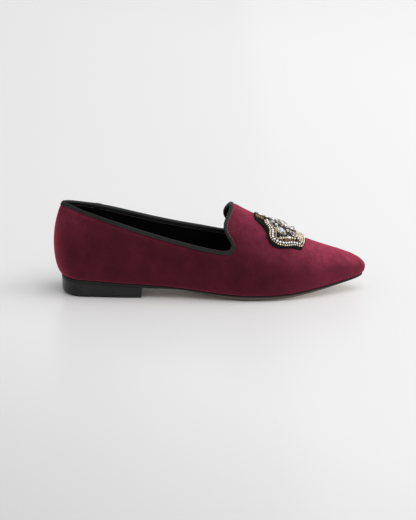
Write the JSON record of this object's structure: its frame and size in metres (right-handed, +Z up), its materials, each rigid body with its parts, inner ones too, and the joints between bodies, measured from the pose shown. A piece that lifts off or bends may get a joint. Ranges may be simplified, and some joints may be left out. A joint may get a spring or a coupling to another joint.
{
  "type": "loafer",
  "caption": "Flat pointed slipper loafer for the right foot: velvet upper, ribbon-bound collar, thin sole, low block heel and a beaded crest on the vamp.",
  "frame": {"origin": "centre of the shoe's bounding box, on the floor that it stands on", "axes": "+X from heel to toe, +Y to the medial (inner) side, +Z up"},
  "size_m": [0.262, 0.0789, 0.0769],
  "materials": {
    "sole": "black painted edge over a tan leather underside",
    "heel": "satin black",
    "velvet": "short burgundy nap",
    "sock": "matt black",
    "ribbon": "black ribbed ribbon",
    "felt": "black felt",
    "beads": "small polished gold and clear beads",
    "bead_ground": "small black beads",
    "stone": "faceted clear grey"
  },
  "bodies": {
    "root": {"outsole": "sole", "heel": "heel", "upper": "velvet", "insole": "sock", "collar_binding": "ribbon", "crest_felt": "felt", "crest_border": "beads", "crest_field": "bead_ground", "crest_stone_1": "stone", "crest_stone_2": "stone", "crest_stone_3": "stone", "crest_stone_4": "stone", "crest_stone_5": "stone"}
  },
  "joints": []
}
